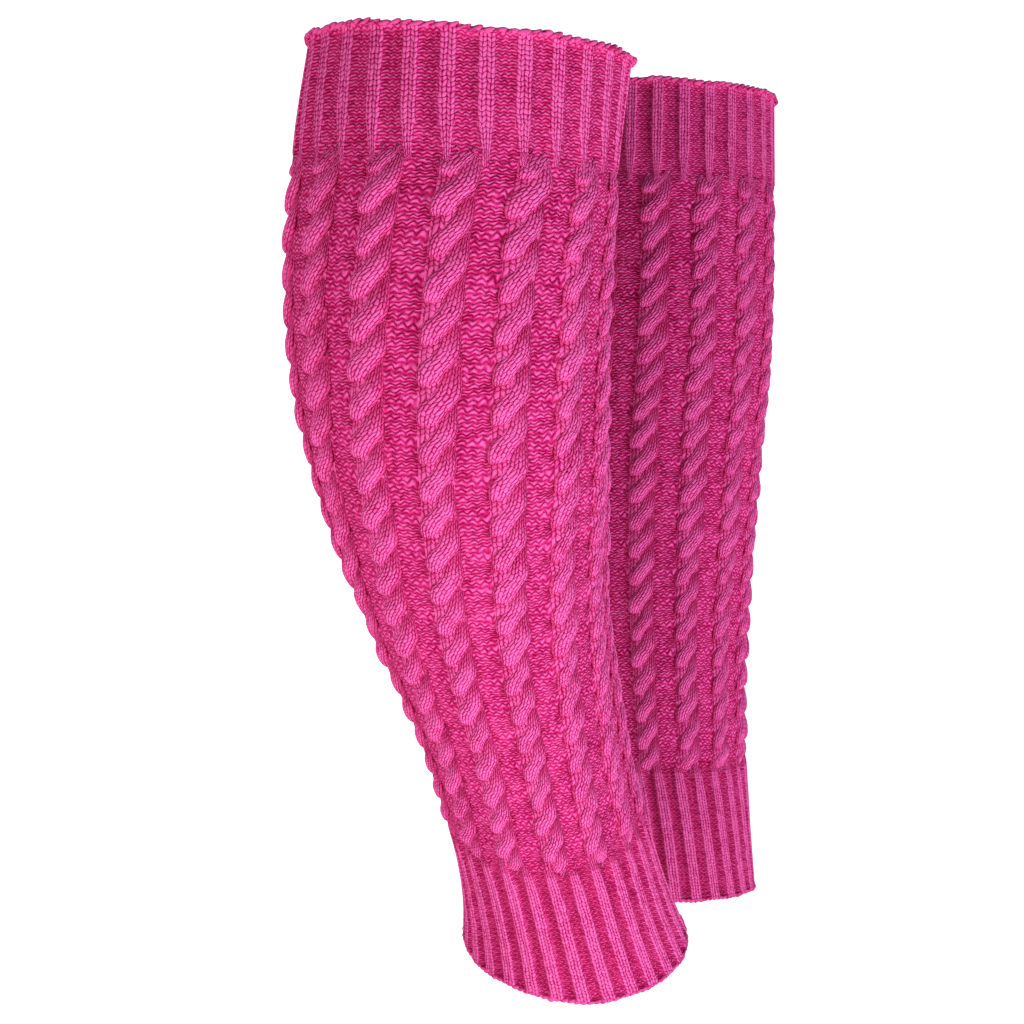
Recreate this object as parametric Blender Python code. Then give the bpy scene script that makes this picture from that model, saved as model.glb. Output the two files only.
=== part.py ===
# A pair of cable-knit leg warmers, filled out as when worn, with both ends open.
# Each one is a knitted tube in three pieces: a wide-ribbed top cuff, a leg of twisted
# cables on a purl ground, and a narrow-ribbed ankle cuff that flares at its hem.
# Units are metres. X runs to the right, Y away from the front, Z up. The origin is the
# middle of the near leg warmer at its calf, where a wearer's leg holds it.

import math
from collections import namedtuple

import bmesh
import bpy
from mathutils import Vector

MM = 0.001

# Driving dimensions, in millimetres unless a name says otherwise.
PURL_WALL = 2.2            # wall between the cables
CABLE_RISE = 3.4           # cable crest above the purl ground
RIB_SETBACK = 1.8          # rib crest inside the cable crest
RIB_RISE = 2.2             # rib crest above the valley beside it
RIM_ROLL = 2.0             # how far the cast-on edge of the top rim rolls outward
HEM_ROLL = 0.6             # how far the bind-off edge of the hem rolls outward
ROLL_HEIGHT = 4.0          # depth of a rolled edge
SEAM_GAP = 0.3             # gap left between two pieces
CABLE_COLUMNS = 14         # cables round the leg
ROWS_PER_CROSSING = 2      # one row on a strand's crest, one in the groove below it
END_FADE = 0.4             # share of that form on the first and last rows of the cables
RIBS = 28                  # ribs round a cuff, two for each cable
INNER_BANDS = {"top_cuff": 1, "cable_leg": 8, "ankle_cuff": 2}
KNIT_PINK = (0.80, 0.045, 0.27, 1.0)
KNIT_ROUGHNESS = 0.85

# One section of a tube. down: below the top rim; across and back: where its middle is;
# width and depth: over the crests; roll: how far its right side is lower, in degrees.
Section = namedtuple("Section", "down across back width depth roll")

NEAR_SECTIONS = (
    Section(down=0, across=8.7, back=-12, width=127.6, depth=118, roll=3.5),
    Section(down=45, across=2.2, back=-7, width=129.6, depth=121, roll=2.5),
    Section(down=95, across=-0.3, back=0, width=130.6, depth=124, roll=1.0),
    Section(down=150, across=2.7, back=13, width=124.6, depth=120, roll=0.0),
    Section(down=210, across=12.1, back=32, width=106.8, depth=108, roll=-1.5),
    Section(down=265, across=27, back=52, width=91, depth=96, roll=-2.5),
    Section(down=315, across=40.8, back=73, width=89.4, depth=92, roll=-2.0),
    Section(down=343, across=47.3, back=85, width=94.4, depth=96, roll=0.0),
    Section(down=365, across=52.2, back=94.5, width=103.6, depth=101, roll=1.5),
)

FAR_SECTIONS = (
    Section(down=0, across=104.2, back=243, width=123.4, depth=118, roll=2.0),
    Section(down=60, across=103.7, back=248, width=125.4, depth=119, roll=1.0),
    Section(down=125, across=102.9, back=252, width=126.8, depth=119, roll=0.0),
    Section(down=200, across=99.3, back=256, width=122.6, depth=116, roll=0.0),
    Section(down=280, across=99.3, back=258, width=109.6, depth=108, roll=0.0),
    Section(down=345, across=103.2, back=258, width=98.4, depth=99, roll=0.0),
    Section(down=385, across=105.4, back=257, width=98.8, depth=99, roll=0.0),
    Section(down=423, across=105.9, back=256, width=102.8, depth=103, roll=0.0),
)

# One leg warmer. top: height of its top rim; cuff_end and leg_end: where its pieces end,
# below the rim; first_notch: where a cable first crosses; crossing: from that crossing to
# the next; tightening: how much nearer each later one is than the one before; cables,
# rim_ribs and hem_ribs: where those columns stand.
LegWarmer = namedtuple(
    "LegWarmer",
    "name sections top cuff_end leg_end first_notch crossing tightening"
    " cables rim_ribs hem_ribs",
)

# Columns of knitting: one of them stands at turn, in degrees round from the front, where it
# is down below the rim, and drifts by twist degrees for each millimetre further down.
Columns = namedtuple("Columns", "turn down twist")

PAIR = (
    LegWarmer(
        name="near", sections=NEAR_SECTIONS, top=95, cuff_end=42, leg_end=310,
        first_notch=47, crossing=13.9, tightening=0.13,
        cables=Columns(turn=-0.6, down=93, twist=-0.094),
        rim_ribs=Columns(turn=6.6, down=0, twist=0.12),
        hem_ribs=Columns(turn=2.0, down=341, twist=0.04),
    ),
    LegWarmer(
        name="far", sections=FAR_SECTIONS, top=139, cuff_end=46, leg_end=357,
        first_notch=52.5, crossing=14.4, tightening=0.0,
        cables=Columns(turn=-7.4, down=113, twist=-0.013),
        rim_ribs=Columns(turn=-6.4, down=0, twist=0.0),
        hem_ribs=Columns(turn=0.5, down=402, twist=0.13),
    ),
)

# Points across one cable and the purl beside it. place: along the repeat, 0 to 1; crest
# and groove: height on a strand and between strands, as a share of CABLE_RISE; swing: how
# far a strand bulges sideways; climb: how far up it has come, in crossings.
CablePoint = namedtuple("CablePoint", "place crest groove swing climb")

CABLE_POINTS = (
    CablePoint(place=-0.43, crest=0.00, groove=0.00, swing=0.00, climb=0.00),
    CablePoint(place=-0.23, crest=0.85, groove=0.05, swing=-0.04, climb=-0.28),
    CablePoint(place=0.00, crest=1.00, groove=0.42, swing=0.00, climb=0.00),
    CablePoint(place=0.21, crest=0.65, groove=0.25, swing=0.03, climb=0.24),
    CablePoint(place=0.41, crest=0.00, groove=0.00, swing=0.00, climb=0.00),
)

# Points across one rib: a flat crest of two wales, then the purl valley beside it.
RibPoint = namedtuple("RibPoint", "place height")

RIB_POINTS = (
    RibPoint(place=-0.20, height=1.0),
    RibPoint(place=0.20, height=1.0),
    RibPoint(place=0.50, height=0.0),
)


def clear_scene():
    for thing in list(bpy.data.objects):
        bpy.data.objects.remove(thing, do_unlink=True)


def slope_at(sections, field, index):
    before = sections[max(index - 1, 0)]
    after = sections[min(index + 1, len(sections) - 1)]
    return (getattr(after, field) - getattr(before, field)) / (after.down - before.down)


def smooth_value(sections, field, down):
    # A smooth curve through the table's rows, with each row's slope taken from its neighbours.
    index = 0
    while index < len(sections) - 2 and down > sections[index + 1].down:
        index += 1
    first = sections[index]
    second = sections[index + 1]
    span = second.down - first.down
    t = (down - first.down) / span
    return (
        (2 * t**3 - 3 * t**2 + 1) * getattr(first, field)
        + (t**3 - 2 * t**2 + t) * span * slope_at(sections, field, index)
        + (3 * t**2 - 2 * t**3) * getattr(second, field)
        + (t**3 - t**2) * span * slope_at(sections, field, index + 1)
    )


def tube_point(leg, down, degrees, inset):
    # A point of the tube: inset is how far it lies inside the crests.
    half_step = 0.5
    drift = smooth_value(leg.sections, "back", down + half_step)
    drift -= smooth_value(leg.sections, "back", down - half_step)
    tilt = math.atan(drift / (2 * half_step))
    roll = math.radians(smooth_value(leg.sections, "roll", down))
    along = Vector((0.0, math.sin(tilt), -math.cos(tilt)))
    side = Vector((math.cos(roll), 0.0, 0.0)) + along * math.sin(roll)
    rear = Vector((0.0, math.cos(tilt), math.sin(tilt)))
    middle = Vector((
        smooth_value(leg.sections, "across", down),
        smooth_value(leg.sections, "back", down),
        leg.top - down,
    ))
    turn = math.radians(degrees)
    half_width = smooth_value(leg.sections, "width", down) / 2 - inset
    half_depth = smooth_value(leg.sections, "depth", down) / 2 - inset
    point = middle + side * (half_width * math.sin(turn)) - rear * (half_depth * math.cos(turn))
    return point * MM


def column_angle(columns, down):
    return columns.turn + columns.twist * (down - columns.down)


def inner_ring(leg, down, count, columns):
    turn = column_angle(columns, down)
    inset = CABLE_RISE + PURL_WALL
    return [tube_point(leg, down, turn + 360 * k / count, inset) for k in range(count)]


def spaced(first, last, bands):
    return [first + (last - first) * k / bands for k in range(bands + 1)]


def add_rings(mesh, rings):
    return [[mesh.verts.new(point) for point in ring] for ring in rings]


def join_rings(mesh, rings, outward):
    for upper, lower in zip(rings, rings[1:]):
        for k in range(len(upper)):
            n = (k + 1) % len(upper)
            corners = (upper[k], lower[k], lower[n], upper[n])
            mesh.faces.new(corners if outward else corners[::-1])


def close_rim(mesh, outer, inner, facing_up):
    # The outer ring has two or three points for each one of the inner ring.
    share = len(outer) // len(inner)
    for k in range(len(inner)):
        here = inner[k]
        after = inner[(k + 1) % len(inner)]
        turn_at = share * k + share // 2
        for m in range(share * k, share * (k + 1)):
            keeper = here if m < turn_at else after
            corners = (outer[m], outer[(m + 1) % len(outer)], keeper)
            mesh.faces.new(corners if facing_up else corners[::-1])
            if m + 1 == turn_at or (share // 2 == 0 and m == share * k):
                corners = (here, outer[turn_at % len(outer)], after)
                mesh.faces.new(corners if facing_up else corners[::-1])


def knit_material(name):
    material = bpy.data.materials.new(name)
    material.use_nodes = True
    shader = material.node_tree.nodes["Principled BSDF"]
    shader.inputs["Base Color"].default_value = KNIT_PINK
    shader.inputs["Roughness"].default_value = KNIT_ROUGHNESS
    shader.inputs["Metallic"].default_value = 0.0
    return material


def knit_object(name, outer, inner):
    # A closed wall from its outer rings and its inner rings, both from top to bottom.
    mesh = bmesh.new()
    outside = add_rings(mesh, outer)
    inside = add_rings(mesh, inner)
    join_rings(mesh, outside, outward=True)
    join_rings(mesh, inside, outward=False)
    close_rim(mesh, outside[0], inside[0], facing_up=True)
    close_rim(mesh, outside[-1], inside[-1], facing_up=False)
    data = bpy.data.meshes.new(name)
    mesh.to_mesh(data)
    mesh.free()
    data.shade_smooth()
    data.set_sharp_from_angle(angle=math.radians(60))
    data.materials.append(knit_material(name))
    thing = bpy.data.objects.new(name, data)
    bpy.context.scene.collection.objects.link(thing)
    return thing


def rib_ring(leg, down, columns, roll):
    turn = column_angle(columns, down)
    pitch = 360 / RIBS
    ring = []
    for rib in range(RIBS):
        for point in RIB_POINTS:
            inset = RIB_SETBACK + RIB_RISE * (1 - point.height) - roll
            ring.append(tube_point(leg, down, turn + pitch * (rib + point.place), inset))
    return ring


def ribbed_cuff(leg, piece, columns, first, last, rolls):
    # rolls: how far down each row of the outside lies, and how far it rolls outward.
    outer = [rib_ring(leg, down, columns, roll) for down, roll in rolls]
    levels = spaced(first, last, INNER_BANDS[piece])
    inner = [inner_ring(leg, down, RIBS, columns) for down in levels]
    return knit_object(leg.name + "_" + piece, outer, inner)


def top_cuff(leg):
    rolls = (
        (0.0, RIM_ROLL),
        (ROLL_HEIGHT / 2, RIM_ROLL),
        (ROLL_HEIGHT, 0.0),
        (leg.cuff_end, 0.0),
    )
    return ribbed_cuff(leg, "top_cuff", leg.rim_ribs, 0.0, leg.cuff_end, rolls)


def ankle_cuff(leg):
    first = leg.leg_end + SEAM_GAP
    last = leg.sections[-1].down
    rolls = (
        (first, 0.0),
        ((first + last) / 2, 0.0),
        (last - ROLL_HEIGHT, 0.0),
        (last, HEM_ROLL),
    )
    return ribbed_cuff(leg, "ankle_cuff", leg.hem_ribs, first, last, rolls)


def notch_down(leg, crossings):
    # How far below the rim a cable crosses, counted in crossings from the first one.
    return leg.first_notch + leg.crossing * crossings - leg.tightening * crossings**2 / 2


def cable_ring(leg, crossings, on_crest, fade, first, last):
    # fade is the share of the strands' swing and climb that this ring shows.
    pitch = 360 / CABLE_COLUMNS
    ring = []
    for column in range(CABLE_COLUMNS):
        for point in CABLE_POINTS:
            middle_height = (point.crest + point.groove) / 2
            height = point.crest if on_crest else point.groove
            height = middle_height + (height - middle_height) * fade
            swing = (point.swing if on_crest else -point.swing) * fade
            level = notch_down(leg, crossings - point.climb * fade)
            level = min(max(level, first), last)
            turn = column_angle(leg.cables, level)
            turn += pitch * (column + point.place + swing)
            ring.append(tube_point(leg, level, turn, CABLE_RISE * (1 - height)))
    return ring


def cable_rows(leg, first, last):
    # Rows half a crossing apart, in crossings, each with whether it lies on the crests. A
    # notch, where strands part, lies on every second one.
    margin = 0.6 * leg.crossing / ROWS_PER_CROSSING
    rows = []
    number = -1
    while notch_down(leg, number / ROWS_PER_CROSSING) < last - margin:
        if notch_down(leg, number / ROWS_PER_CROSSING) > first + margin:
            rows.append((number / ROWS_PER_CROSSING, number % ROWS_PER_CROSSING == 1))
        number += 1
    return rows


def level_ring(leg, down):
    # The ring at either end of the cables, at the middle height of crest and groove.
    pitch = 360 / CABLE_COLUMNS
    turn = column_angle(leg.cables, down)
    ring = []
    for column in range(CABLE_COLUMNS):
        for point in CABLE_POINTS:
            inset = CABLE_RISE * (1 - (point.crest + point.groove) / 2)
            ring.append(tube_point(leg, down, turn + pitch * (column + point.place), inset))
    return ring


def cable_leg(leg):
    first = leg.cuff_end + SEAM_GAP
    last = leg.leg_end
    rows = cable_rows(leg, first, last)
    outer = [level_ring(leg, first)]
    for index, (crossings, on_crest) in enumerate(rows):
        fade = END_FADE if index in (0, len(rows) - 1) else 1.0
        outer.append(cable_ring(leg, crossings, on_crest, fade, first, last))
    outer.append(level_ring(leg, last))
    count = CABLE_COLUMNS * len(CABLE_POINTS) // 2
    levels = spaced(first, last, INNER_BANDS["cable_leg"])
    inner = [inner_ring(leg, down, count, leg.cables) for down in levels]
    return knit_object(leg.name + "_cable_leg", outer, inner)


clear_scene()
for one in PAIR:
    top_cuff(one)
    cable_leg(one)
    ankle_cuff(one)
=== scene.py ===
import math

import bpy
import numpy as np
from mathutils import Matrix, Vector


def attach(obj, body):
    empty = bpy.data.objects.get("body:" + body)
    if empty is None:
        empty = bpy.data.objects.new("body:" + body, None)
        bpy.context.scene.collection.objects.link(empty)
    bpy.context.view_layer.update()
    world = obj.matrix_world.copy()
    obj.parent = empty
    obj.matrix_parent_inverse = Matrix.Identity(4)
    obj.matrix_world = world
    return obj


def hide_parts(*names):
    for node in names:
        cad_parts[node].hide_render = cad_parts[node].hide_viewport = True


# Looks of a pair of cable-knit leg warmers, worn and filled out, with both ends open.
# Lengths in the tables below are millimetres unless a note says metres, angles are degrees,
# and the scene is in metres.

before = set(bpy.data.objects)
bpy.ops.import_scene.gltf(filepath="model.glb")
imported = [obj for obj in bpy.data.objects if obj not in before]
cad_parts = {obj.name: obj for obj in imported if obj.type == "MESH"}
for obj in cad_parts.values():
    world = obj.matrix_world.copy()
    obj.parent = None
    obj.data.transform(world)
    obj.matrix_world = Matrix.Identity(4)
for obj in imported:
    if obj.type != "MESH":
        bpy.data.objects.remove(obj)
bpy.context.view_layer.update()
bpy.ops.object.select_all(action="DESELECT")

mm = 0.001
seedOfCables = 21
seedOfEdges = 22

# down: below the top rim; across, back: the middle; width, depth: over the crests;
# roll: how far the right side is lower
sectionColumns = ("down", "across", "back", "width", "depth", "roll")

nearLeg = {
    "name": "near", "wavePhase": 0.0,
    "sections": (
        (0, 8.7, -12, 127.6, 118, 3.5),
        (45, 2.2, -7, 129.6, 121, 2.5),
        (95, -0.3, 0, 130.6, 124, 1.0),
        (150, 2.7, 13, 124.6, 120, 0.0),
        (210, 12.1, 32, 106.8, 108, -1.5),
        (265, 27, 52, 91, 96, -2.5),
        (315, 40.8, 73, 89.4, 92, -2.0),
        (343, 47.3, 85, 94.4, 96, 0.0),
        (365, 52.2, 94.5, 103.6, 101, 1.5),
    ),
    "top": 95, "cuffEnd": 42, "legEnd": 310, "hem": 365,
    "firstNotch": 50.9, "crossing": 13.9, "tightening": 0.13, "crossings": 22,
    "cables": (-0.6, 93, -0.094), "rimRibs": (6.6, 0, 0.12), "hemRibs": (2.0, 341, 0.04),
}

farLeg = {
    "name": "far", "wavePhase": 2.2,
    "sections": (
        (0, 104.2, 243, 123.4, 118, 2.0),
        (60, 103.7, 248, 125.4, 119, 1.0),
        (125, 102.9, 252, 126.8, 119, 0.0),
        (200, 99.3, 256, 122.6, 116, 0.0),
        (280, 99.3, 258, 109.6, 108, 0.0),
        (345, 103.2, 258, 98.4, 99, 0.0),
        (385, 105.4, 257, 98.8, 99, 0.0),
        (423, 105.9, 256, 102.8, 103, 0.0),
    ),
    "top": 139, "cuffEnd": 46, "legEnd": 357, "hem": 423,
    "firstNotch": 56.5, "crossing": 14.4, "tightening": 0.0, "crossings": 23,
    "cables": (-7.4, 113, -0.013), "rimRibs": (-6.4, 0, 0.0), "hemRibs": (0.5, 402, 0.13),
}

wall = {
    "purl": 2.2,            # thickness between the cables
    "cableRise": 3.4,       # cable crest above the purl ground
    "ribSetback": 1.8,      # rib crest inside the cable crest
    "ribRise": 2.2,         # rib crest above the valley beside it
    "columns": 14,          # cables round the leg
    "ribs": 28,             # ribs round a cuff
    "rowsPerCrossing": 6,   # knit rows from one crossing to the next
    "seam": 0.3,            # room between the leg and its ankle cuff
}

# the slow rise and fall of the cloth is one wave times another, each given by its angle for
# every mm down the tube, its turns round the tube and its start
unevenness = {"height": 0.4, "waves": ((0.041, 2.0, 0.0), (0.023, -3.0, 1.0))}


def tableCurve(rows, columns, name, at):
    # a smooth curve through one column of a table, its slope taken from the rows on each side
    table = np.array(rows, float)
    places, values = table[:, 0], table[:, columns.index(name)]
    count = len(places)
    before = np.maximum(np.arange(count) - 1, 0)
    after = np.minimum(np.arange(count) + 1, count - 1)
    slopes = (values[after] - values[before]) / (places[after] - places[before])
    i = np.clip(np.searchsorted(places, at, side="left") - 1, 0, count - 2)
    span = places[i + 1] - places[i]
    t = (at - places[i]) / span
    return (
        (2 * t**3 - 3 * t**2 + 1) * values[i] + (t**3 - 2 * t**2 + t) * span * slopes[i]
        + (3 * t**2 - 2 * t**3) * values[i + 1] + (t**3 - t**2) * span * slopes[i + 1]
    )


def unevenCloth(down, turn):
    # how far the cloth stands out from its even form
    height = unevenness["height"]
    for perMm, around, start in unevenness["waves"]:
        height = height * np.sin(perMm * down + around * turn + start)
    return height


def tubePoints(leg, down, degrees, inset):
    # points of the tube in metres: inset is how far each lies inside the crests
    down, degrees, inset = np.broadcast_arrays(np.asarray(down, float), degrees, inset)
    level = {name: tableCurve(leg["sections"], sectionColumns, name, down) for name in sectionColumns}
    drift = tableCurve(leg["sections"], sectionColumns, "back", down + 0.5)
    drift = drift - tableCurve(leg["sections"], sectionColumns, "back", down - 0.5)
    tilt = np.arctan(drift)
    roll = np.radians(level["roll"])
    turn = np.radians(degrees)
    inset = inset - unevenCloth(down, turn)
    right = (level["width"] / 2 - inset) * np.sin(turn)
    front = (level["depth"] / 2 - inset) * np.cos(turn)
    x = level["across"] + right * np.cos(roll)
    y = level["back"] + right * np.sin(roll) * np.sin(tilt) - front * np.cos(tilt)
    z = leg["top"] - down - right * np.sin(roll) * np.cos(tilt) - front * np.sin(tilt)
    return np.stack([x, y, z], axis=-1) * mm


def columnAngle(leg, columns, down):
    # columns: where one of them stands, how far below the rim that is, and its drift
    turn, start, twist = leg[columns]
    return turn + twist * (down - start)


def notchDown(leg, crossings):
    return leg["firstNotch"] + leg["crossing"] * crossings - leg["tightening"] * crossings**2 / 2


def crossingsAt(leg, down):
    # the inverse of notchDown
    rest = down - leg["firstNotch"]
    if leg["tightening"] == 0:
        return rest / leg["crossing"]
    root = np.sqrt(leg["crossing"] ** 2 - 2 * leg["tightening"] * rest)
    return (leg["crossing"] - root) / leg["tightening"]


def smoothStep(low, high, value):
    t = np.clip((value - low) / (high - low), 0, 1)
    return t * t * (3 - 2 * t)


def addMesh(name, points, faces, stitches, knit, paintedShade, material):
    # stitches: u in stitches and v in rows at each face corner; knit: 1 on knit, 0 on purl;
    # the last argument is painted shade: how far each point lies in the shade of the yarn around it
    data = bpy.data.meshes.new(name)
    data.from_pydata(points.reshape(-1, 3).tolist(), [], faces)
    data.uv_layers.new(name="stitches")
    data.uv_layers["stitches"].data.foreach_set("uv", np.asarray(stitches, np.float32).ravel())
    data.attributes.new("knit", "FLOAT", "CORNER")
    data.attributes["knit"].data.foreach_set("value", np.asarray(knit, np.float32).ravel())
    data.attributes.new("paintedShade", "FLOAT", "POINT")
    data.attributes["paintedShade"].data.foreach_set("value", np.asarray(paintedShade, np.float32).ravel())
    data.materials.append(material)
    data.shade_smooth()
    data.update()
    piece = bpy.data.objects.new(name, data)
    bpy.context.scene.collection.objects.link(piece)
    return piece


def cornerStitches(u, v):
    # u and v of the four corners of each face, from rings that have one more entry than points
    below = (np.arange(len(u)) + 1) % len(u)
    corners = np.empty((len(u), u.shape[1] - 1, 4, 2))
    for corner, across, along in ((0, u[:, :-1], v[:, :-1]), (3, u[:, 1:], v[:, 1:])):
        corners[:, :, corner, 0] = across
        corners[:, :, corner, 1] = along
    for corner, across, along in ((1, u[below, :-1], v[below, :-1]), (2, u[below, 1:], v[below, 1:])):
        corners[:, :, corner, 0] = across
        corners[:, :, corner, 1] = along
    return corners


def closedWall(name, rings, stitches, isKnit, paintedShade, material):
    # a closed sheet from rings of points: down the outside, round the rim and up the inside
    ringCount, around = rings.shape[:2]
    i, j = np.meshgrid(np.arange(ringCount), np.arange(around), indexing="ij")
    below, beside = (i + 1) % ringCount, (j + 1) % around
    faces = np.stack([i * around + j, below * around + j, below * around + beside, i * around + beside], -1)
    knit = np.repeat(isKnit.reshape(-1), 4)
    return addMesh(name, rings, faces.reshape(-1, 4).tolist(), stitches, knit, paintedShade, material)


yarn = {
    "face": (0.92, 0.128, 0.430, 1.0),        # painted highlight: the lit top of a strand
    "side": (0.64, 0.020, 0.170, 1.0),        # painted shade: where it turns away
    "gap": (0.22, 0.0003, 0.036, 1.0),        # painted shade between strands
    "faceAt": 1.0, "sideAt": 0.60, "gapAt": 0.20,             # the heights of those three
    "paintedShadeTint": (0.62, 0.05, 0.27, 1.0),      # painted shade: the colour that shaded points are darkened by, as in the hollows between cables
    "sheenTint": (1.0, 0.45, 0.85, 1.0),
    "sheen": 0.02, "sheenRoughness": 0.35,
    "roughness": 0.85, "specular": 0.04,
    "bumpDepth": 0.0008,                      # metres from a gap up to the top of a strand
    "fibreScale": 2400, "fibreDetail": 2.0, "fibreHeight": 0.18,
    "mottleScale": 70, "mottleDetail": 3.0, "mottle": 0.30,   # lighter and darker patches
    "stitchTone": 0.34,                       # how much one stitch differs from the next
    "wanderScale": 330, "wanderDetail": 2.0,  # stitches wander a little, as hand-knit ones do:
    "wanderAcross": 0.45, "wanderAlong": 1.2, "purlWander": 0.6,      # in stitches and rows
}


class NodeMaths:
    # writes short sums as Math nodes
    def __init__(self, tree):
        self.tree = tree

    def node(self, kind, **settings):
        made = self.tree.nodes.new(kind)
        for key, value in settings.items():
            setattr(made, key, value)
        return made

    def do(self, operation, *values):
        made = self.node("ShaderNodeMath", operation=operation)
        for socket, value in zip(made.inputs, values):
            if isinstance(value, (int, float)):
                socket.default_value = value
            else:
                self.tree.links.new(value, socket)
        return made.outputs[0]

    def mix(self, share, first, second):
        # numbers, from first to second
        difference = self.do("SUBTRACT", second, first)
        return self.do("MULTIPLY_ADD", difference, share, first)

    def noise(self, place, scale, detail):
        made = self.node("ShaderNodeTexNoise", noise_dimensions="3D")
        self.tree.links.new(place, made.inputs["Vector"])
        made.inputs["Scale"].default_value = scale
        made.inputs["Detail"].default_value = detail
        return made.outputs["Fac"]

    def tint(self, share, first, second, blend):
        made = self.node("ShaderNodeMix", data_type="RGBA", blend_type=blend)
        for socket, value in ((made.inputs[0], share), (made.inputs[6], first), (made.inputs[7], second)):
            if isinstance(value, (float, tuple)):
                socket.default_value = value
            else:
                self.tree.links.new(value, socket)
        return made.outputs[2]


# two legs of yarn to a knit stitch, leaning out from its middle, each a long bead
knitStitch = {
    "lean": 0.9,            # rows that a leg climbs over the width of a stitch
    "sidePower": 2.6,       # how late a leg's sides fall away, and how far they fall
    "sideFall": 0.60,
    "endPower": 4.0,        # the same at its ends, where it meets the next one
    "endFall": 0.46,
}

# a purl stitch shows as bumps, the head of a loop and the feet of the next, each half a stitch
# aside from those above and below it
purlStitch = {
    "bumps": 1.6,           # rows of bumps to a row of knitting
    "sway": 0.22,           # how far a row of bumps sways up and down
    "power": 1.2,           # over 1 makes the rows of bumps narrower
    "bead": 0.36,           # how much a row of bumps swells and sinks along its length
}


def knitHeight(maths, u, v, stagger):
    # the height of the yarn in a knit stitch, and the row it is in
    legOfYarn = maths.do("MULTIPLY", u, 2.0)
    offCentre = maths.do("ABSOLUTE", maths.do("SUBTRACT", maths.do("FRACT", u), 0.5))
    across = maths.do("MULTIPLY_ADD", maths.do("FRACT", legOfYarn), 2.0, -1.0)
    across = maths.do("POWER", maths.do("ABSOLUTE", across), knitStitch["sidePower"])
    row = maths.do("MULTIPLY_ADD", offCentre, -knitStitch["lean"], v)
    row = maths.do("MULTIPLY_ADD", maths.do("FLOOR", legOfYarn), stagger, row)
    along = maths.do("MULTIPLY_ADD", maths.do("FRACT", row), 2.0, -1.0)
    along = maths.do("POWER", maths.do("ABSOLUTE", along), knitStitch["endPower"])
    height = maths.do("MULTIPLY_ADD", across, -knitStitch["sideFall"], 1.0)
    return maths.do("MULTIPLY_ADD", along, -knitStitch["endFall"], height), row


def purlHeight(maths, u, v, pitDepth):
    # the height of the yarn in a purl stitch, and the row of bumps it is in
    wave = maths.do("COSINE", maths.do("MULTIPLY", u, 2 * math.pi))
    sway = maths.do("MULTIPLY", wave, purlStitch["sway"])
    row = maths.do("MULTIPLY_ADD", v, purlStitch["bumps"], sway)
    ridge = maths.do("SINE", maths.do("MULTIPLY", maths.do("FRACT", row), math.pi))
    ridge = maths.do("POWER", ridge, purlStitch["power"])
    everyOther = maths.do("MULTIPLY", maths.do("FLOOR", row), math.pi)
    beads = maths.do("COSINE", maths.do("MULTIPLY_ADD", u, 2 * math.pi, everyOther))
    swell = maths.do("MULTIPLY_ADD", beads, purlStitch["bead"], 1 - purlStitch["bead"])
    ridge = maths.do("MULTIPLY", ridge, swell)
    pit = maths.do("MULTIPLY", maths.do("SUBTRACT", 1.0, ridge), pitDepth)
    return maths.do("SUBTRACT", 1.0, pit), row


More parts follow.
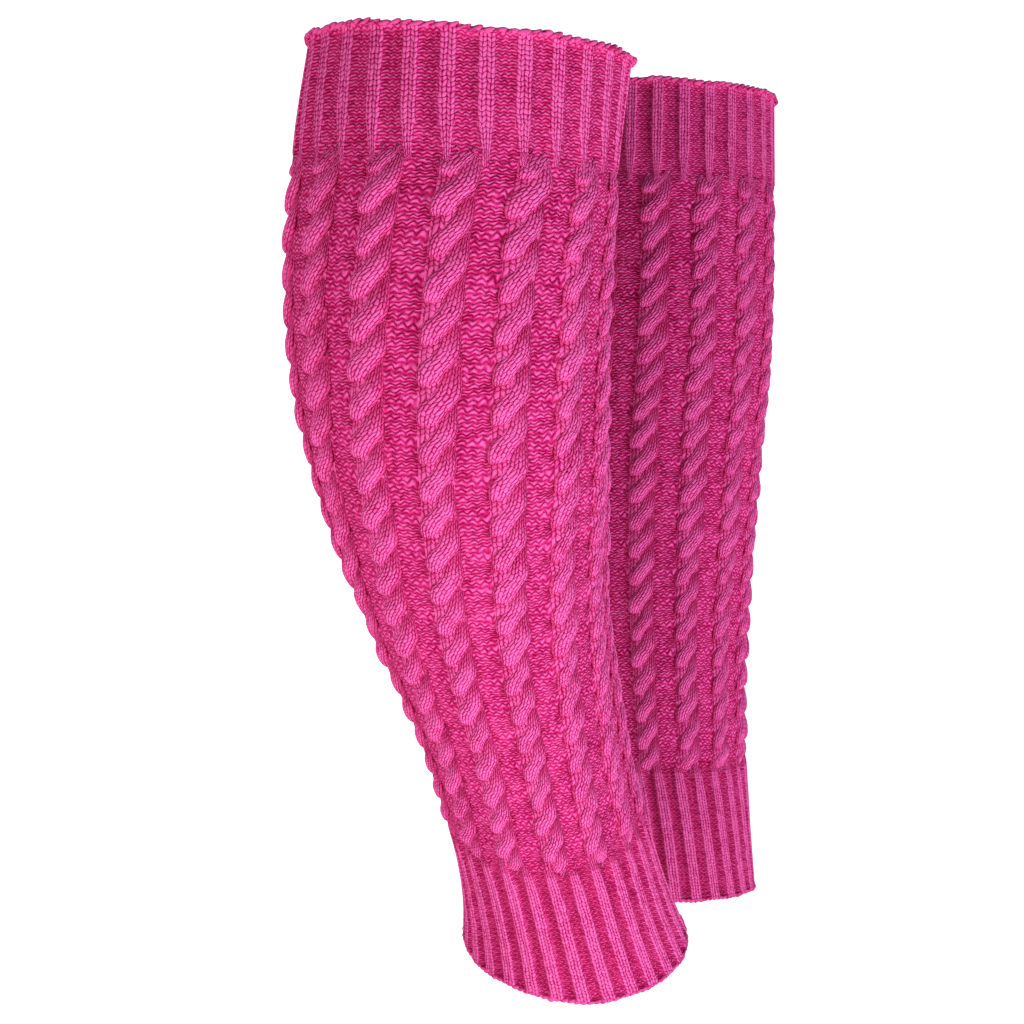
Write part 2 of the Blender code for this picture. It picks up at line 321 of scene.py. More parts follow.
def knitMaterial(name, stagger, pitDepth):
    material = bpy.data.materials.new(name)
    material.use_nodes = True
    tree = material.node_tree
    maths = NodeMaths(tree)
    shader = tree.nodes["Principled BSDF"]
    place = maths.node("ShaderNodeTexCoord").outputs["Object"]
    split = maths.node("ShaderNodeSeparateXYZ")
    tree.links.new(maths.node("ShaderNodeUVMap", uv_map="stitches").outputs["UV"], split.inputs[0])

    wander = maths.noise(place, yarn["wanderScale"], yarn["wanderDetail"])
    wander = maths.do("SUBTRACT", wander, 0.5)
    u = maths.do("MULTIPLY_ADD", wander, yarn["wanderAcross"], split.outputs["X"])
    knitV = maths.do("MULTIPLY_ADD", wander, yarn["wanderAlong"], split.outputs["Y"])
    purlV = maths.do("MULTIPLY_ADD", wander, yarn["purlWander"], split.outputs["Y"])

    isKnit = maths.node("ShaderNodeAttribute", attribute_name="knit").outputs["Fac"]
    purl, purlRow = purlHeight(maths, u, purlV, pitDepth)
    knit, knitRow = knitHeight(maths, u, knitV, stagger)
    height = maths.mix(isKnit, purl, knit)

    # each stitch has its own tone
    cell = maths.node("ShaderNodeCombineXYZ")
    tree.links.new(maths.do("FLOOR", maths.do("MULTIPLY", u, 2.0)), cell.inputs[0])
    tree.links.new(maths.do("FLOOR", maths.mix(isKnit, purlRow, knitRow)), cell.inputs[1])
    tone = maths.node("ShaderNodeTexWhiteNoise", noise_dimensions="2D")
    tree.links.new(cell.outputs[0], tone.inputs["Vector"])

    fibre = maths.noise(place, yarn["fibreScale"], yarn["fibreDetail"])
    rough = maths.do("MULTIPLY_ADD", fibre, yarn["fibreHeight"], height)
    bump = maths.node("ShaderNodeBump")
    bump.inputs["Strength"].default_value = 1.0
    bump.inputs["Distance"].default_value = yarn["bumpDepth"]
    tree.links.new(rough, bump.inputs["Height"])
    tree.links.new(bump.outputs["Normal"], shader.inputs["Normal"])

    mottle = maths.noise(place, yarn["mottleScale"], yarn["mottleDetail"])
    mottle = maths.do("SUBTRACT", mottle, 0.5)
    shade = maths.do("MULTIPLY_ADD", mottle, yarn["mottle"], rough)
    offTone = maths.do("SUBTRACT", tone.outputs["Value"], 0.5)
    shade = maths.do("MULTIPLY_ADD", offTone, yarn["stitchTone"], shade)
    # painted shade and highlight: with the stitches' own tones, the colour follows the yarn's height, dark
    # in gaps, lightest on tops
    ramp = maths.node("ShaderNodeValToRGB")
    stops = ramp.color_ramp.elements
    stops[0].position, stops[0].color = yarn["gapAt"], yarn["gap"]
    stops[1].position, stops[1].color = yarn["faceAt"], yarn["face"]
    middle = stops.new(yarn["sideAt"])
    middle.color = yarn["side"]
    tree.links.new(shade, ramp.inputs["Fac"])
    # painted shade: the colour is darkened where the yarn around a point would shade it
    paintedShade = maths.node("ShaderNodeAttribute", attribute_name="paintedShade").outputs["Fac"]
    colour = maths.tint(paintedShade, ramp.outputs["Color"], yarn["paintedShadeTint"], "MULTIPLY")
    tree.links.new(colour, shader.inputs["Base Color"])

    shader.inputs["Roughness"].default_value = yarn["roughness"]
    shader.inputs["Sheen Weight"].default_value = yarn["sheen"]
    shader.inputs["Sheen Tint"].default_value = yarn["sheenTint"]
    shader.inputs["Sheen Roughness"].default_value = yarn["sheenRoughness"]
    shader.inputs["Specular IOR Level"].default_value = yarn["specular"]
    return material


# knitShare: how much of a rib its knit wales take; relief: how much of the ribs' rise is left
# at the edge, where the cloth lies at the height edgeLow; shade: how much painted shade the valleys get;
# taper: how much narrower the knit is where the leg begins; wave: how unevenly the edge runs
topCuff = {
    "knitWales": 2, "purlWales": 3, "knitShare": 0.44, "knitPoints": 8, "purlPoints": 7,
    "roll": 2.0, "rollHeight": 4.0, "relief": 0.0, "edgeLow": 0.6, "shade": 0.22,
    "taper": 0.60, "wave": 0.9,
    "rowStep": 1.0, "rowHeight": 1.85,
    "groove": 0.16,         # dip between the two knit wales, as a share of the rib's rise
}
ankleCuff = {
    "knitWales": 2, "purlWales": 2, "knitShare": 0.54, "knitPoints": 8, "purlPoints": 6,
    "roll": 0.6, "rollHeight": 4.0, "relief": 0.4, "edgeLow": 0.3, "shade": 0.50,
    "taper": 0.30, "wave": 0.5,
    "rowStep": 1.1, "rowHeight": 1.55,
    "groove": 0.16,
}

# what both cuffs have alike
cuffForm = {
    "taperFrom": -15, "taperTo": 7,       # where the knit narrows, from the seam with the leg
    "sideFrom": -0.05, "sideTo": 0.10,    # where a rib's side falls, from the end of its knit
    "grooveReach": 0.4,                   # half the groove's width, as a share of half the knit
    "waveReach": 12,                      # how far from the edge its unevenness is felt
    # insideShade: painted shade on the inside of the tube
    "insideRings": 12, "insideRoll": 0.7, "insideShade": 0.3,
}

# an edge runs a little up and down: turns round the tube, start and height of each wave
edgeWaves = ((2, 0.0, 0.6), (5, 1.3, 0.5), (11, 0.0, 0.35), (23, 0.5, 0.2))


def ribShare(cuff, beyond):
    # share of a rib that is knit; beyond: how far past the cuff's seam with the leg
    taper = smoothStep(cuffForm["taperFrom"], cuffForm["taperTo"], beyond)
    return cuff["knitShare"] * (1 - cuff["taper"] * taper)


def ribLayout(cuff, place, share):
    # place: in ribs, whole at the middle of a crest. Gives the wale there and the height
    whole = np.round(place)
    offset = place - whole
    half = share / 2
    inKnit = np.minimum(np.abs(offset), half) / half * cuff["knitWales"] / 2
    inPurl = np.maximum(np.abs(offset) - half, 0) / (0.5 - half) * cuff["purlWales"] / 2
    wale = whole * (cuff["knitWales"] + cuff["purlWales"]) + np.sign(offset) * (inKnit + inPurl)
    height = 1 - smoothStep(half + cuffForm["sideFrom"], half + cuffForm["sideTo"], np.abs(offset))
    inGroove = np.clip(1 - np.abs(offset) / (cuffForm["grooveReach"] * half), 0, 1)
    height = height - cuff["groove"] * inGroove
    return wale, height


def edgeWave(leg, cuff, angles):
    # how much lower an edge runs at these angles
    turn = np.radians(angles) + leg["wavePhase"]
    return cuff["wave"] * sum(height * np.sin(turns * turn + start) for turns, start, height in edgeWaves)


def ribPlaces(cuff):
    # points across one rib, closer on its knit wales
    half = cuff["knitShare"] / 2
    onKnit = np.linspace(-half, half, cuff["knitPoints"], endpoint=False)
    onPurl = np.linspace(half, 1 - half, cuff["purlPoints"], endpoint=False)
    return np.concatenate([onKnit, onPurl])


def evenRows(first, last, step):
    # rows down a tube, with one more close to each end to keep that end crisp
    closeBy = 0.1
    rows = np.linspace(first, last, int(round((last - first) / step)) + 1)
    return np.sort(np.append(rows, [first + closeBy, last - closeBy]))


def ribbedCuff(leg, pieceName, cuff, columns, first, last, edgeAtTop, material):
    # first, last: how far down the tube it starts and ends, one of them at the tube's edge
    ribs = wall["ribs"]
    place = (np.arange(ribs)[:, None] + ribPlaces(cuff)[None, :]).ravel()
    closing = np.append(place, place[0] + ribs)
    down = evenRows(first, last, cuff["rowStep"])
    share = ribShare(cuff, down - last if edgeAtTop else first - down)
    height = ribLayout(cuff, place, share[:, None])[1]
    fromEdge = down - first if edgeAtTop else last - down
    roll = smoothStep(0, 1, 1 - fromEdge / cuff["rollHeight"])
    relief = (1 - (1 - cuff["relief"]) * roll)[:, None]
    low = (1 - height) * relief + cuff["edgeLow"] * (1 - relief)
    inset = wall["ribSetback"] + wall["ribRise"] * low - cuff["roll"] * roll[:, None]
    full = wall["cableRise"] + wall["purl"]
    insideDown = np.linspace(last, first, cuffForm["insideRings"])
    fromEdge = insideDown - first if edgeAtTop else last - insideDown
    insideRoll = smoothStep(0, 1, 1 - fromEdge / cuff["rollHeight"])
    insideInset = full - cuffForm["insideRoll"] * cuff["roll"] * insideRoll
    rims = [(inset[-1].max() + insideInset[0]) / 2, (inset[0].max() + insideInset[-1]) / 2]
    allDown = np.concatenate([down, [last], insideDown, [first]])
    plain = np.ones((1, len(place)))
    allInset = np.concatenate([inset, rims[0] * plain, insideInset[:, None] * plain, rims[1] * plain])
    pitch = 360 / ribs
    angles = columnAngle(leg, columns, allDown)[:, None] + pitch * place[None, :]
    fromEdge = allDown - first if edgeAtTop else last - allDown
    atEdge = 1 - smoothStep(0, cuffForm["waveReach"], fromEdge)
    waved = allDown[:, None] + edgeWave(leg, cuff, angles) * atEdge[:, None]
    rings = tubePoints(leg, waved, angles, allInset)
    share = ribShare(cuff, allDown - last if edgeAtTop else first - allDown)[:, None]
    u = ribLayout(cuff, closing, share)[0]
    v = np.tile(-allDown[:, None] / cuff["rowHeight"], (1, len(closing)))
    middle = (closing[1:] + closing[:-1]) / 2
    isKnit = (np.abs(middle - np.round(middle)) < share / 2).astype(float)
    isKnit[len(down):] = 1 - isKnit[len(down):]
    # painted shade: even on the inside, and on the outside the lower the cloth lies between ribs
    paintedShade = np.full(rings.shape[:2], cuffForm["insideShade"])
    paintedShade[:len(down)] = cuff["shade"] * np.clip(low, 0, 1)
    return closedWall(f"{leg['name']}_{pieceName}", rings, cornerStitches(u, v), isKnit, paintedShade, material)


# the purl ground that the cables lie on, and how the cuffs' ribs run into it
ground = {
    "pointsPerRepeat": 20, "rowStep": 1.9, "insideRings": 46, "seamGap": 0.05,
    "purlWale": 0.14,       # one purl stitch, as a share of the repeat
    "cableHalf": 0.27,      # half of a cable
    "dip": 0.9,             # how far the ground sinks at a notch
    "swell": 1.7,           # how far it rises under a cable
    "swellPlace": -0.08, "swellWidth": 0.13,
    "pull": 0.5,            # how far the rows of purl draw together at a notch
    "sway": 0.12,           # how far those rows sway from one crossing to the next
    "ribReach": 9.0,        # how far the ribs of a cuff run on
    "ribRows": 4.0,         # over what length their own stitches do, and how unevenly
    "ribUneven": 0.5, "ribUnevenTurns": 7.9,
    # painted shade: a little over all the ground, more at the notches and corners, even inside
    "shade": 0.10, "notchShade": 0.75, "cornerShade": 0.55, "insideShade": 0.3,
}

# where a strand parts from the next, the cloth is drawn in: at the notch on the cable's left,
# and less so at the corner on its right. place, width: in repeats, of the hollow and of the rows
# that are drawn together beside it; later: in crossings; share: of what the notch has
notch = {"place": -0.22, "width": 0.14, "pullPlace": -0.24, "pullWidth": 0.20}
corner = {
    "place": 0.30, "width": 0.08, "pullPlace": 0.3, "pullWidth": 0.13,
    "later": 0.66, "share": 0.6, "pullShare": 0.5,
}


def nearPlace(place, centre, width):
    # 1 at centre, 0 away from it, for places counted in repeats
    away = (place - centre + 0.5) % 1 - 0.5
    return np.exp(-(away / width) ** 2)


def pulse(turn):
    # 1 at every whole turn, 0 halfway between
    return (0.5 + 0.5 * np.cos(turn)) ** 3


def purlGround(leg, material):
    perRepeat = ground["pointsPerRepeat"]
    around = perRepeat * wall["columns"]
    first = leg["cuffEnd"] + ground["seamGap"]
    last = leg["legEnd"] + wall["seam"] - ground["seamGap"]
    outsideDown = evenRows(first, last, ground["rowStep"])
    outside = len(outsideDown)
    insideDown = np.linspace(last, first, ground["insideRings"])
    down = np.concatenate([outsideDown, insideDown])[:, None]
    place = (np.arange(around + 1) / perRepeat)[None, :]      # in repeats, whole at a cable
    pitch = 360 / wall["columns"]
    angles = columnAngle(leg, "cables", down) + pitch * place
    crossings = crossingsAt(leg, down)

    # the ribs of the cuffs run on into the leg and fade
    fromTop, fromAnkle = down - leg["cuffEnd"], leg["legEnd"] - down
    ribPitch = 360 / wall["ribs"]
    rimPlace = (angles - columnAngle(leg, "rimRibs", down)) / ribPitch
    hemPlace = (angles - columnAngle(leg, "hemRibs", down)) / ribPitch
    rimWale, rimHeight = ribLayout(topCuff, rimPlace, ribShare(topCuff, fromTop))
    hemWale, hemHeight = ribLayout(ankleCuff, hemPlace, ribShare(ankleCuff, fromAnkle))
    atTop = 1 - smoothStep(0, ground["ribReach"], fromTop)
    atAnkle = 1 - smoothStep(0, ground["ribReach"], fromAnkle)
    ribHeight = np.where(fromTop < fromAnkle, rimHeight, hemHeight)
    ribInset = wall["ribSetback"] + wall["ribRise"] * (1 - ribHeight)

    notchTurn = 2 * math.pi * crossings
    cornerTurn = 2 * math.pi * (crossings + corner["later"])
    atNotch = nearPlace(place, notch["place"], notch["width"]) * pulse(notchTurn)
    atCorner = nearPlace(place, corner["place"], corner["width"]) * pulse(cornerTurn)
    inset = wall["cableRise"] + ground["dip"] * (atNotch + corner["share"] * atCorner)
    inset = inset - ground["swell"] * nearPlace(place, ground["swellPlace"], ground["swellWidth"])
    share = np.maximum(atTop, atAnkle)
    inset = inset * (1 - share) + ribInset * share
    inset[outside:] = wall["cableRise"] + wall["purl"]
    everyDown = np.broadcast_to(down, inset.shape)
    rings = tubePoints(leg, everyDown[:, :-1], angles[:, :-1], inset[:, :-1])

    pull = nearPlace(place, notch["pullPlace"], notch["pullWidth"]) * np.sin(notchTurn)
    atRight = nearPlace(place, corner["pullPlace"], corner["pullWidth"]) * np.sin(cornerTurn)
    pull = ground["pull"] * (pull + corner["pullShare"] * atRight)
    purlRow = -crossings * wall["rowsPerCrossing"] - ground["sway"] * np.sin(notchTurn) - pull
    purlWale = np.broadcast_to(place / ground["purlWale"], purlRow.shape)
    stitches = cornerStitches(purlWale, purlRow)
    onCable = np.abs((place + 0.5 / perRepeat + 0.5) % 1 - 0.5)[:, :-1] < ground["cableHalf"]
    isKnit = np.tile(onCable.astype(float), (len(down), 1))
    for cuff, wale, ribPlace, distance in (
        (topCuff, rimWale, rimPlace, fromTop), (ankleCuff, hemWale, hemPlace, fromAnkle),
    ):
        row = np.broadcast_to(-down / cuff["rowHeight"], wale.shape)
        uneven = ground["ribUneven"] * np.sin(ground["ribUnevenTurns"] * place[:, :-1])
        reach = ground["ribRows"] * (1 + uneven)
        inReach = np.broadcast_to(distance < reach, isKnit.shape)
        stitches = np.where(inReach[:, :, None, None], cornerStitches(wale, row), stitches)
        middle = (ribPlace[:, 1:] + ribPlace[:, :-1]) / 2
        onRib = np.abs(middle - np.round(middle)) < ribShare(cuff, distance) / 2
        isKnit = np.where(inReach, onRib, isKnit)
    isKnit[outside:] = 1 - isKnit[outside:]
    # painted shade: more at the notches and corners, the ribs' own near the cuffs, even inside
    ribShade = np.where(fromTop < fromAnkle, topCuff["shade"], ankleCuff["shade"])
    paintedShade = ground["shade"] + ground["notchShade"] * atNotch + ground["cornerShade"] * atCorner
    paintedShade = paintedShade * (1 - share) + ribShade * share
    paintedShade[outside:] = ground["insideShade"]
    name = f"{leg['name']}_leg_ground"
    return closedWall(name, rings, stitches, isKnit.astype(float), paintedShade[:, :-1], material)


# One strand of a cable, from its rounded lower end at the left, over the crossing and down
# into the hollow at the right. climb: crossings up from that end; middle, halfWidth: shares of
# a repeat; height: share of the cable's rise
strandColumns = ("climb", "middle", "halfWidth", "height")
strandRows = (
    (-0.09, -0.150, 0.078, -0.25),
    (0.00, -0.140, 0.124, 0.56),
    (0.10, -0.127, 0.156, 0.82),
    (0.26, -0.098, 0.186, 0.93),
    (0.44, -0.056, 0.214, 0.95),
    (0.58, 0.008, 0.225, 0.93),
    (0.72, 0.074, 0.208, 0.87),
    (0.90, 0.118, 0.180, 0.70),
    (1.12, 0.140, 0.152, 0.44),
    (1.38, 0.160, 0.120, 0.20),
    (1.62, 0.195, 0.085, -0.05),
    (1.80, 0.212, 0.060, -0.35),
)

cables = {
    "rows": 15, "overPoints": 17, "underPoints": 1,
    "crowding": 0.05,       # how much closer the rows stand at a strand's ends
    "shortest": 0.25,       # crossings; a strand that a cuff leaves less of isn't laid
    "under": 0.8,           # how deep a strand's underside lies in the ground
    "settle": 0.25,         # how far the whole strand lies in it
    "flatness": 2.6,        # over 2 makes the strand's section squarer than an ellipse
    "wales": 4,             # knit wales across one strand, two ridges to a wale
    "stitchRows": 6.5,      # their rows from one crossing to the next
    "ridge": 0.26,          # how deep the grooves between those ridges are
    "seamReach": 1.0,       # how far the cables run on into the cuffs, and how deep they end
    "seamEnd": 0.35,
    "seamFade": 9.0,        # over what length they sink towards the cuffs, and to what share
    "seamHeight": 0.10,
    "rising": 0.25,         # crossings over which a strand comes out of a cuff, and how deep
    "risingFrom": 0.3,      # it starts, as a share of its rise
    "jitter": 0.08,         # how much the strands differ in height and width
    "nudge": 0.25,          # how far they stand out of line, as a share of that
}

# painted shade on a strand: where it goes down into the hollow, low on its sides, and under the
# end of the strand above. Places in crossings up the strand and in repeats across it
strandShade = {
    "hollowFrom": 0.92, "hollowTo": 1.25, "hollow": 0.40,
    "lowFrom": 0.1, "lowTo": 0.7, "low": 0.7, "lowFade": 12,
    "endClimb": 0.95, "endLength": 0.11, "endPlace": -0.14, "endWidth": 0.10,
}


def strandSection():
    # over the top from left to right, then back underneath: places from -1 to 1, lifts,
    # grooves and wales. The places are halfway between a circle's and even ones
    turn = np.linspace(0, math.pi, cables["overPoints"])
    over = 0.5 * -np.cos(turn) + 0.5 * (2 * turn / math.pi - 1)
    under = np.linspace(1, -1, cables["underPoints"] + 2)[1:-1]
    place = np.concatenate([over, under])
    lift = (1 - np.abs(over) ** cables["flatness"]) ** 0.5
    lift = np.concatenate([lift, -np.ones(len(under))])
    groove = np.concatenate([np.arange(len(over)) % 2 == 0, np.zeros(len(under))]).astype(float)
    wales = cables["wales"] * np.arange(len(over)) / (len(over) - 1)
    beneath = cables["wales"] * (1 + np.arange(1, len(under) + 2) / (len(under) + 1))
    return place, lift, groove, np.concatenate([wales, beneath])


def cableStrands(leg, material):
    rng = np.random.default_rng(seedOfCables)
    passes = np.arange(leg["crossings"] + 2)
    columns = np.arange(wall["columns"])
    rows = cables["rows"]
    low = leg["cuffEnd"] - cables["seamReach"]
    high = leg["legEnd"] + cables["seamReach"]
    lowClimb = np.maximum(strandRows[0][0], passes - crossingsAt(leg, high))
    highClimb = np.minimum(strandRows[-1][0], passes - crossingsAt(leg, low))
    keep = highClimb - lowClimb > cables["shortest"]
    passes, lowClimb, highClimb = passes[keep], lowClimb[keep], highClimb[keep]

    share = np.linspace(0, 1, rows)
    share = share - cables["crowding"] * np.sin(2 * math.pi * share)
    climb = lowClimb[:, None] + (highClimb - lowClimb)[:, None] * share[None, :]
    down = notchDown(leg, passes[:, None] - climb)
    shape = {name: tableCurve(strandRows, strandColumns, name, climb) for name in strandColumns}

    fromSeam = np.minimum(down - leg["cuffEnd"], leg["legEnd"] - down)
    sink = smoothStep(0, cables["seamFade"], fromSeam)
    sink = cables["seamHeight"] + (1 - cables["seamHeight"]) * sink
    beyond = smoothStep(0, cables["seamReach"], -fromSeam)
    height = shape["height"] * sink * (1 - beyond) - cables["seamEnd"] * beyond

    # a strand that starts or ends at a cuff rises from the ground there
    atHem = smoothStep(0, cables["rising"], climb - lowClimb[:, None])
    atRim = smoothStep(0, cables["rising"], highClimb[:, None] - climb)
    atHem = np.where(lowClimb[:, None] > strandRows[0][0], atHem, 1)
    atRim = np.where(highClimb[:, None] < strandRows[-1][0], atRim, 1)
    height = (height + cables["risingFrom"]) * atHem * atRim - cables["risingFrom"]

    sideways, lift, groove, wales = strandSection()
    around = len(sideways)
    spread = (len(columns), len(passes), rows, around)
    one = (len(columns), len(passes), 1, 1)
    tall = 1 + cables["jitter"] * rng.standard_normal(one)
    nudge = cables["nudge"] * cables["jitter"] * rng.standard_normal(one)
    wide = 1 + cables["jitter"] * rng.standard_normal(one)
    place = shape["middle"][..., None] + shape["halfWidth"][..., None] * sideways
    place = place[None] + nudge + (wide - 1) * shape["halfWidth"][None, ..., None] * sideways
    top = height[None, :, :, None] * tall * wall["cableRise"]
    rise = np.where(lift >= 0, top * lift, cables["under"] * lift) - cables["settle"]
    rise = rise - cables["ridge"] * groove * np.clip(lift, 0, 1)
    downAll = np.broadcast_to(down[None, :, :, None], spread)
    angles = columnAngle(leg, "cables", downAll)
    angles = angles + 360 / wall["columns"] * (columns[:, None, None, None] + place)
    points = tubePoints(leg, downAll, angles, wall["cableRise"] - rise)

    # painted shade: into the hollow, low on the sides, and under the end of the strand above
    climbAll = np.broadcast_to(climb[None, :, :, None], spread)
    hollow = smoothStep(strandShade["hollowFrom"], strandShade["hollowTo"], climbAll)
    low = 1 - smoothStep(strandShade["lowFrom"], strandShade["lowTo"], rise / wall["cableRise"])
    low = low * smoothStep(0, strandShade["lowFade"], fromSeam)[None, ..., None]
    underEnd = ((climbAll - strandShade["endClimb"]) / strandShade["endLength"]) ** 2
    underEnd = underEnd + ((place - strandShade["endPlace"]) / strandShade["endWidth"]) ** 2
    paintedShade = np.maximum(strandShade["hollow"] * hollow, strandShade["low"] * low)
    paintedShade = np.clip(np.maximum(paintedShade, np.exp(-underEnd)), 0, 1)

    # one more point closes each end
    count = len(columns) * len(passes)
    points = points.reshape(count, rows, around, 3)
    ends = [points[:, 0].mean(axis=1, keepdims=True), points[:, -1].mean(axis=1, keepdims=True)]
    points = np.concatenate([points.reshape(count, rows * around, 3)] + ends, axis=1)
    # the two end points get full painted shade
    paintedShade = np.concatenate([paintedShade.reshape(count, rows * around), np.ones((count, 2))], axis=1)
    perStrand = rows * around + 2

    i, j = np.meshgrid(np.arange(rows - 1), np.arange(around), indexing="ij")
    beside = (j + 1) % around
    here, above = i * around, (i + 1) * around
    quads = np.stack([here + j, here + beside, above + beside, above + j], -1).reshape(-1, 4)
    ring = np.arange(around)
    nextRing = (ring + 1) % around
    lastRow = (rows - 1) * around
    startCap = np.stack([nextRing, ring, np.full(around, rows * around)], -1)
    endCap = np.stack([lastRow + ring, lastRow + nextRing, np.full(around, rows * around + 1)], -1)
    caps = np.concatenate([startCap, endCap])
    offsets = perStrand * np.arange(count)[:, None, None]
    faces = (quads + offsets).reshape(-1, 4).tolist()
    faces = faces + (caps + offsets).reshape(-1, 3).tolist()

    stitchRow = cables["stitchRows"] * climb[np.tile(np.arange(len(passes)), len(columns))]
    quadStitches = np.empty((count, rows - 1, around, 4, 2))
    quadStitches[..., 0, 0] = quadStitches[..., 3, 0] = wales[:-1]
    quadStitches[..., 1, 0] = quadStitches[..., 2, 0] = wales[1:]
    quadStitches[..., 0, 1] = quadStitches[..., 1, 1] = stitchRow[:, :-1, None]
    quadStitches[..., 2, 1] = quadStitches[..., 3, 1] = stitchRow[:, 1:, None]
    # every strand and column has tones of its own
    quadStitches[..., 0] += 10 * np.arange(count)[:, None, None, None]
    capStitches = np.zeros((count * 2 * around * 3, 2))
    stitches = np.concatenate([quadStitches.reshape(-1, 2), capStitches])
    knit = np.ones(len(stitches))
    return addMesh(f"{leg['name']}_leg_cables", points, faces, stitches, knit, paintedShade, material)


# beads of yarn laid end to end along a rim, each leaning on the next
rimEdge = {
    "beads": 92, "length": 6.0, "thick": 2.0, "lean": 20,
    "inset": 0.9, "down": 0.9, "uneven": 0.22,
}
hemEdge = {
    "beads": 112, "length": 3.8, "thick": 2.1, "lean": 16,
    "inset": 2.4, "down": -0.3, "uneven": 0.22,
}
# the part of a knit stitch that each bead shows, and the painted shade it gets
beadStitch = {"across": 0.25, "width": 0.35, "along": 0.5, "length": 0.7, "shade": 0.35}


def yarnBead():
    # one stitch of an edge: a ball, drawn out by whoever lays it
    bpy.ops.object.select_all(action="DESELECT")
    lengthways = (0, math.pi / 2, 0)
    bpy.ops.mesh.primitive_uv_sphere_add(segments=8, ring_count=6, radius=0.5, rotation=lengthways)
    bead = bpy.context.active_object
    bpy.ops.object.transform_apply(location=True, rotation=True, scale=True)
    points = np.array([vertex.co[:] for vertex in bead.data.vertices])
    # in one fixed order, as Blender's own differs from run to run
    faces = sorted(list(face.vertices) for face in bead.data.polygons)
    bpy.data.objects.remove(bead)
    return points, faces


def unit(vectors):
    return vectors / np.linalg.norm(vectors, axis=-1, keepdims=True)


def chainEdge(leg, pieceName, edge, cuff, columns, down, material):
    rng = np.random.default_rng(seedOfEdges)
    bead, beadFaces = yarnBead()
    count = edge["beads"]
    angles = columnAngle(leg, columns, down) + 360 * np.arange(count) / count
    down = down + edgeWave(leg, cuff, angles)
    # where each bead lies, and its directions: along the edge, out of the cloth and up
    middle = tubePoints(leg, down, angles, edge["inset"]) / mm
    along = unit(tubePoints(leg, down, angles + 0.5, edge["inset"]) / mm - middle)
    out = unit(tubePoints(leg, down, angles, edge["inset"] - 1.0) / mm - middle)
    up = unit(np.cross(out, along))
    lean = np.radians(edge["lean"] * (1 + edge["uneven"] * rng.standard_normal(count)))[:, None]
    size = (1 + edge["uneven"] * rng.standard_normal(count))[:, None, None]
    first = along * np.cos(lean) + up * np.sin(lean)
    second = up * np.cos(lean) - along * np.sin(lean)
    points = middle[:, None] + (
        first[:, None] * bead[None, :, 0:1] * edge["length"]
        + size * out[:, None] * bead[None, :, 1:2] * edge["thick"]
        + size * second[:, None] * bead[None, :, 2:3] * edge["thick"]
    )
    faces = [[corner + k * len(bead) for corner in face] for k in range(count) for face in beadFaces]
    corners = np.concatenate([bead[face] for face in beadFaces])
    corners = np.tile(corners, (count, 1))
    across = beadStitch["across"] + beadStitch["width"] * corners[:, 2]
    lengthways = beadStitch["along"] + beadStitch["length"] * corners[:, 0]
    stitches = np.stack([across, lengthways], axis=-1)
    stitches = stitches + np.repeat(np.arange(count), len(corners) // count)[:, None]
    knit = np.ones(len(stitches))
    # painted shade, even over every bead
    paintedShade = np.full(points.shape[:2], beadStitch["shade"])
    return addMesh(f"{leg['name']}_{pieceName}", points * mm, faces, stitches, knit, paintedShade, material)


# stagger: rows by which each leg of yarn is out of step with the one beside it;
# pitDepth: how deep the purl lies between its bumps
knitFinish = {
    "cable_knit": {"stagger": 0.62, "pitDepth": 0.74},
    "rib_knit": {"stagger": 0.0, "pitDepth": 0.70},
}
cableKnit = knitMaterial("cable_knit", **knitFinish["cable_knit"])
ribKnit = knitMaterial("rib_knit", **knitFinish["rib_knit"])
print("yarn ready")


def dress(piece):
    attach(piece, "root")


for leg in (nearLeg, farLeg):
    name = leg["name"]
    top = ribbedCuff(leg, "top_ribs", topCuff, "rimRibs", 0.0, leg["cuffEnd"], True, ribKnit)
    ankleStart = leg["legEnd"] + wall["seam"]
    ankle = ribbedCuff(leg, "ankle_ribs", ankleCuff, "hemRibs", ankleStart, leg["hem"], False, ribKnit)
    base = purlGround(leg, cableKnit)
    strands = cableStrands(leg, cableKnit)
    rim = chainEdge(leg, "top_edge", rimEdge, topCuff, "rimRibs", rimEdge["down"], ribKnit)
    hem = chainEdge(leg, "hem_edge", hemEdge, ankleCuff, "hemRibs", leg["hem"] + hemEdge["down"], ribKnit)
    for piece in (base, strands):
        dress(piece)
    for piece in (top, ankle, rim, hem):
        dress(piece)
    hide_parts(f"{name}_top_cuff")
    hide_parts(f"{name}_cable_leg")
    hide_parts(f"{name}_ankle_cuff")
    print(f"{name} leg warmer knitted")


# in metres and watts, the lens and sensor in millimetres
studio = {
    "cameraPlace": (0.0243, -0.6656, -0.0827), "lens": 59.77, "sensor": 36, "farthest": 50,
    "floor": -0.90, "white": (0.93, 0.93, 0.93, 1.0), "roughness": 0.9, "glow": 0.80, "world": 0.02,
    "frontEdge": -3.0, "bendFrom": 1.2, "bend": 0.8, "bendSteps": 12, "wallTop": 5.0, "halfWidth": 4.0,
    # name, place, target, size, power, colour
    "lamps": (
        ("left", (-0.45, -0.78, -0.34), (0.02, 0.0, -0.12), 0.5, 4.8, (1.0, 0.94, 0.92)),
        ("right", (0.98, -0.62, -0.55), (0.06, 0.10, -0.18), 0.5, 10.5, (0.95, 1.05, 1.14)),
    ),
}


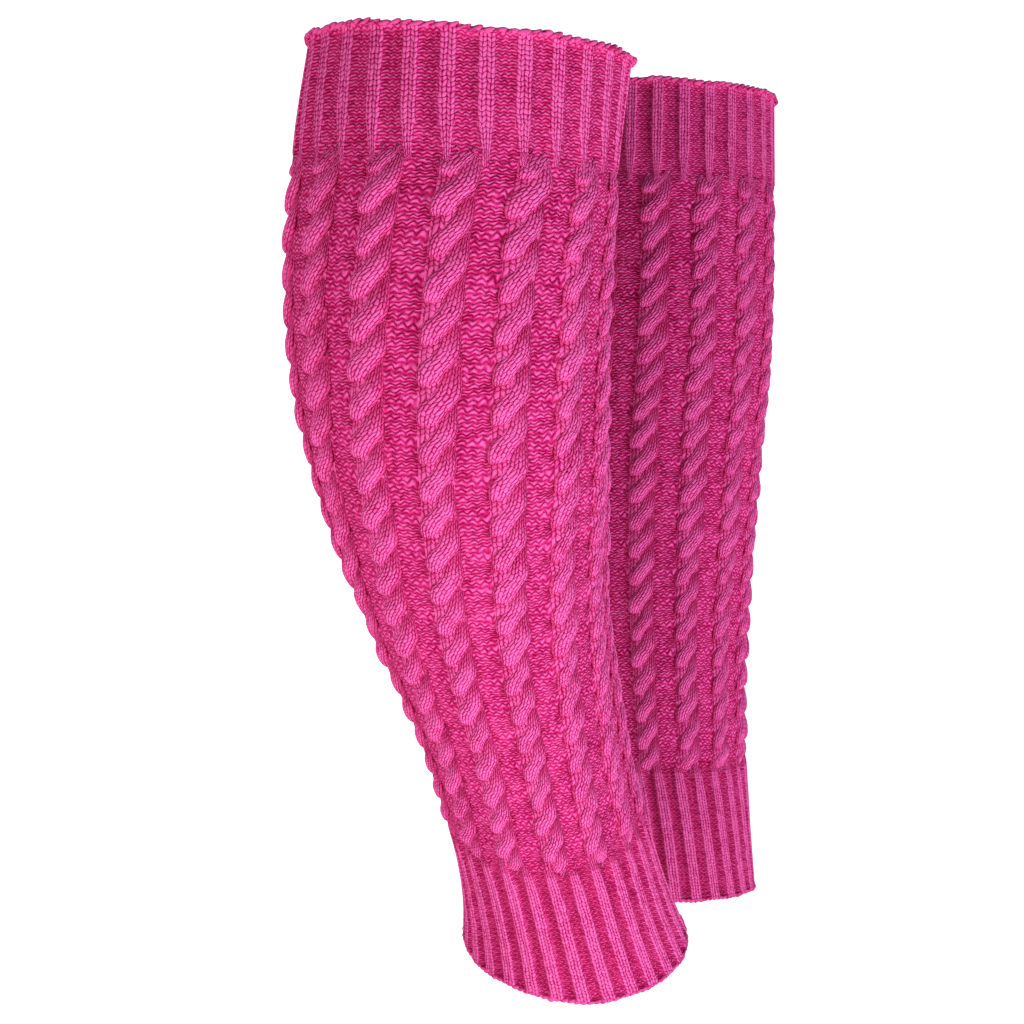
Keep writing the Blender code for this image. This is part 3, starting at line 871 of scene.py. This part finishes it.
def studioSweep():
    # a white paper floor that curves up into the wall behind, lit from within a little
    bend, bendFrom = studio["bend"], studio["bendFrom"]
    profile = [(studio["frontEdge"], 0.0), (bendFrom, 0.0)]
    for step in range(1, studio["bendSteps"] + 1):
        turn = math.radians(90 * step / studio["bendSteps"])
        profile.append((bendFrom + bend * math.sin(turn), bend * (1 - math.cos(turn))))
    profile.append((bendFrom + bend, studio["wallTop"]))
    sides = (-studio["halfWidth"], studio["halfWidth"])
    points = [(side, y, z + studio["floor"]) for y, z in profile for side in sides]
    faces = [(2 * k, 2 * k + 1, 2 * k + 3, 2 * k + 2) for k in range(len(profile) - 1)]
    data = bpy.data.meshes.new("studio_sweep")
    data.from_pydata(points, [], faces)
    data.shade_smooth()
    sweep = bpy.data.objects.new("studio_sweep", data)
    bpy.context.scene.collection.objects.link(sweep)
    paper = bpy.data.materials.new("white_paper")
    paper.use_nodes = True
    surface = paper.node_tree.nodes["Principled BSDF"]
    surface.inputs["Base Color"].default_value = studio["white"]
    surface.inputs["Roughness"].default_value = studio["roughness"]
    surface.inputs["Emission Color"].default_value = (1.0, 1.0, 1.0, 1.0)
    surface.inputs["Emission Strength"].default_value = studio["glow"]
    data.materials.append(paper)


def areaLight(name, place, target, size, power, colour):
    light = bpy.data.lights.new(name, "AREA")
    light.shape = "DISK"
    light.size = size
    light.energy = power
    light.color = colour
    lamp = bpy.data.objects.new(name, light)
    lamp.location = place
    lamp.rotation_euler = (Vector(target) - Vector(place)).to_track_quat("-Z", "Y").to_euler()
    bpy.context.scene.collection.objects.link(lamp)


def studioWorld(strength):
    world = bpy.data.worlds.new("studio")
    bpy.context.scene.world = world
    world.use_nodes = True
    background = world.node_tree.nodes["Background"]
    background.inputs["Color"].default_value = (1, 1, 1, 1)
    background.inputs["Strength"].default_value = strength


studioSweep()
studioWorld(studio["world"])
for lamp in studio["lamps"]:
    areaLight(*lamp)
print("studio lit")

cameraData = bpy.data.cameras.new("camera")
cameraData.lens = studio["lens"]
cameraData.sensor_width = studio["sensor"]
cameraData.clip_end = studio["farthest"]
camera = bpy.data.objects.new("camera", cameraData)
camera.location = studio["cameraPlace"]
camera.rotation_euler = (math.radians(90), 0, 0)
bpy.context.scene.collection.objects.link(camera)
bpy.context.scene.camera = camera
bpy.context.scene.view_settings.view_transform = "Standard"

bpy.context.view_layer.update()
